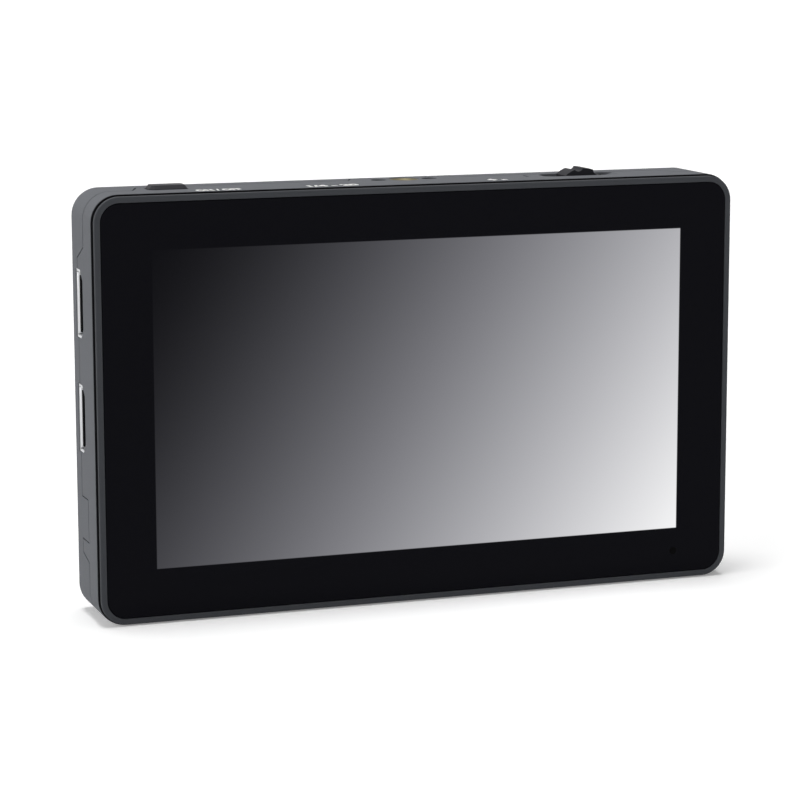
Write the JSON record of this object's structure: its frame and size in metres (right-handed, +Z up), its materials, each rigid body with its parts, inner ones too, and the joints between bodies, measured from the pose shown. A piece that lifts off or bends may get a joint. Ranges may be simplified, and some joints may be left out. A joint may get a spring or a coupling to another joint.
{
  "type": "camera field monitor",
  "caption": "Small camera-top display: glass-fronted screen in a two-part moulded housing, with a power button, a pressable menu dial, video sockets, mounting threads and a battery slide plate.",
  "frame": {"origin": "middle of the bounding box's bottom face, on the flat base of the housing", "axes": "+X along the width, to the right as seen from the front; +Y from the screen to the back; +Z up; the screen faces -Y"},
  "size_m": [0.1472, 0.0256, 0.094],
  "materials": {
    "housing_grey": "fine textured moulding",
    "frame_black": "satin black",
    "cover_glass": "coated black glass, optically bonded to the panel",
    "tape_black": "black foam adhesive",
    "clear_bond": "clear adhesive",
    "panel_dark": "polarising film",
    "backlight_white": "white diffuser",
    "steel": "plated",
    "spring_steel": "drawn wire",
    "socket_steel": "bright plated sheet",
    "screw_black": "black zinc",
    "clear_pipe": "clear",
    "board_green": "solder mask",
    "brass": "turned",
    "contact_gold": "gold plated",
    "chip_black": "moulded",
    "thermal_pad": "soft silicone",
    "aluminium": "bead blasted",
    "flex_amber": "polyimide film",
    "control_black": "satin black",
    "dial_black": "toothed, soft satin",
    "switch_grey": "moulded",
    "tongue_black": "glass-filled moulding",
    "plate_black": "textured black",
    "lead_red": "wire sleeve",
    "plug_ivory": "moulded"
  },
  "bodies": {
    "monitor": {"front_frame": "frame_black", "cover_glass": "cover_glass", "glass_tape": "tape_black", "bonding_layer": "clear_bond", "display_panel": "panel_dark", "backlight_unit": "backlight_white", "panel_tray": "steel", "status_light_pipe": "clear_pipe", "front_housing": "housing_grey", "rear_housing": "housing_grey", "housing_screws": "screw_black", "frame_screws": "steel", "main_board": "board_green", "board_standoffs": "brass", "board_screws": "steel", "processor_chip": "chip_black", "thermal_pad": "thermal_pad", "heat_spreader": "aluminium", "spreader_screws": "steel", "display_flex": "flex_amber", "touch_flex": "flex_amber", "control_board": "board_green", "control_board_screws": "steel", "control_flex": "flex_amber", "power_switch": "switch_grey", "dial_switch": "switch_grey", "dial_spring": "spring_steel", "top_thread_insert": "brass", "bottom_thread_insert": "brass", "upper_video_socket": "socket_steel", "upper_video_tongue": "tongue_black", "lower_video_socket": "socket_steel", "lower_video_tongue": "tongue_black", "headphone_jack": "tongue_black", "service_port": "socket_steel", "service_port_tongue": "tongue_black", "power_out_jack": "tongue_black", "power_out_pin": "steel", "power_in_jack": "tongue_black", "power_in_pin": "steel", "battery_plate": "plate_black", "battery_plate_screws": "screw_black", "battery_contact_block": "tongue_black", "battery_contacts": "contact_gold", "battery_leads": "lead_red", "battery_plug": "plug_ivory", "release_spring": "spring_steel"},
    "button": {"power_button": "control_black"},
    "dial_cradle": {"dial_carriage": "chip_black", "dial_axle": "steel"},
    "dial": {"menu_dial": "dial_black"},
    "latch": {"battery_release": "control_black"}
  },
  "joints": [
    {"name": "power_press", "type": "slide", "parent": "monitor", "child": "button", "axis": [0, 0, -1], "range_m": [0, 0.0004], "stiffness_N_per_m": 400, "springref_m": -0.001},
    {"name": "dial_press", "type": "slide", "parent": "monitor", "child": "dial_cradle", "axis": [0, 0, -1], "range_m": [0, 0.0005], "stiffness_N_per_m": 400, "springref_m": -0.001, "deforming": ["dial_spring"]},
    {"name": "dial_turn", "type": "hinge", "parent": "dial_cradle", "child": "dial", "pos_m": [0.0405, -0.00235, 0.08755], "axis": [0, 1, 0], "continuous": true},
    {"name": "latch_press", "type": "slide", "parent": "monitor", "child": "latch", "axis": [0, -1, 0], "range_m": [0, 0.0016], "stiffness_N_per_m": 600, "springref_m": -0.001, "deforming": ["release_spring"]}
  ]
}
